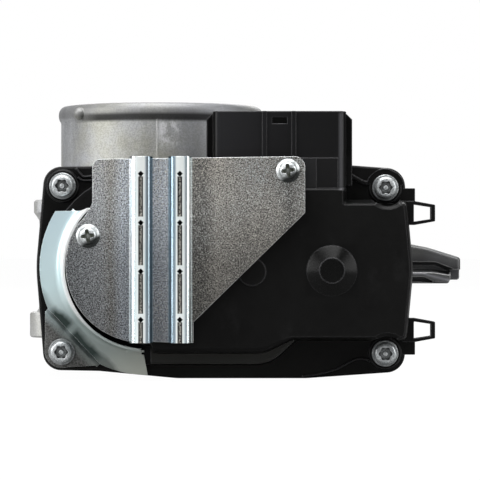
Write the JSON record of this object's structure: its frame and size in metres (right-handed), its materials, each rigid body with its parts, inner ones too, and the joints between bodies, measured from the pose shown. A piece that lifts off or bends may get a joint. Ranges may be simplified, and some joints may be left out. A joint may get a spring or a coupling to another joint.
{
  "type": "electronic throttle body",
  "caption": "Electronic throttle body: a flanged aluminium barrel with a motor-driven butterfly valve, a side gear cover with its own connector, and sheet metal shields.",
  "frame": {"origin": "on the bore axis, in the plane of the face that bolts to the intake manifold", "axes": "+Z along the bore axis towards the air inlet, +X towards the support arm, -Y out of the gear cover, parallel to the throttle shaft"},
  "size_m": [0.1725, 0.1358, 0.1075],
  "materials": {
    "cast_aluminium": "sand-grey die casting",
    "steel": "ground steel",
    "zinc_steel": "zinc plated steel",
    "bright_zinc": "bright smooth zinc plated sheet",
    "dark_zinc": "dark grained zinc plated sheet with bright ribs",
    "screw_zinc": "bright zinc plated screw",
    "core_steel": "laminated core",
    "tinned_blade": "tinned copper blade",
    "spring_steel": "oiled spring wire",
    "brass": "satin brass",
    "copper": "bare copper",
    "ferrite": "sintered ferrite",
    "black_plastic": "glass filled moulding, satin",
    "gear_plastic": "natural moulded gear plastic",
    "sensor_board": "coated circuit board",
    "rubber": "moulded rubber"
  },
  "bodies": {
    "housing": {"throttle_casting": "cast_aluminium", "rear_shaft_plug": "steel", "rear_needle_bearing": "steel", "rear_shaft_seal": "rubber", "front_shaft_seal": "rubber", "front_bearing_outer_ring": "steel", "front_bearing_ball_cage": "steel", "return_spring": "spring_steel", "closed_stop_screw": "steel", "closed_stop_locknut": "steel", "idler_pin": "steel", "motor_case": "zinc_steel", "motor_magnet_upper": "ferrite", "motor_magnet_lower": "ferrite", "motor_end_plate": "black_plastic", "motor_wave_washer": "spring_steel", "motor_screw_1": "steel", "motor_screw_2": "steel", "motor_terminal_1": "copper", "motor_terminal_2": "copper", "cover_gasket": "rubber", "gear_cover": "black_plastic", "position_sensor": "sensor_board", "crescent_shield": "bright_zinc", "heat_shield": "dark_zinc", "shield_screw_1": "screw_zinc", "shield_screw_2": "screw_zinc", "cover_dowel_1": "steel", "cover_dowel_2": "steel", "connector_terminal_1": "tinned_blade", "connector_terminal_2": "tinned_blade", "connector_terminal_3": "tinned_blade", "connector_terminal_4": "tinned_blade", "connector_terminal_5": "tinned_blade", "connector_terminal_6": "tinned_blade", "cover_washer_1": "screw_zinc", "cover_screw_1": "screw_zinc", "cover_washer_2": "screw_zinc", "cover_screw_2": "screw_zinc", "cover_washer_3": "screw_zinc", "cover_screw_3": "screw_zinc", "cover_washer_4": "screw_zinc", "cover_screw_4": "screw_zinc"},
    "throttle_rotor": {"throttle_shaft": "steel", "throttle_plate": "brass", "throttle_plate_screw_1": "steel", "throttle_plate_screw_2": "steel", "front_bearing_inner_ring": "steel", "stop_lever": "zinc_steel", "sector_gear": "gear_plastic", "sensor_magnet_ring": "ferrite", "sector_gear_nut": "steel"},
    "idler": {"idler_gear": "gear_plastic"},
    "motor_rotor": {"motor_shaft": "steel", "motor_armature": "core_steel", "motor_commutator": "copper", "motor_pinion": "brass"}
  },
  "joints": [
    {"name": "throttle_turn", "type": "hinge", "parent": "housing", "child": "throttle_rotor", "pos_m": [0, 0, 0.0276], "axis": [0, 1, 0], "range_deg": [-6, 80], "stiffness_Nm_per_rad": 0.3},
    {"name": "idler_turn", "type": "hinge", "parent": "housing", "child": "idler", "pos_m": [0.03698, 0, 0.02631], "axis": [0, 1, 0], "range_deg": [-414, 32]},
    {"name": "motor_turn", "type": "hinge", "parent": "housing", "child": "motor_rotor", "pos_m": [0.06766, 0, 0.02899], "axis": [0, 1, 0], "range_deg": [-140, 1861]}
  ],
  "couplings": [
    {"joint": "idler_turn", "follows": "throttle_turn", "ratio": -5.1667},
    {"joint": "motor_turn", "follows": "throttle_turn", "ratio": 23.25}
  ]
}
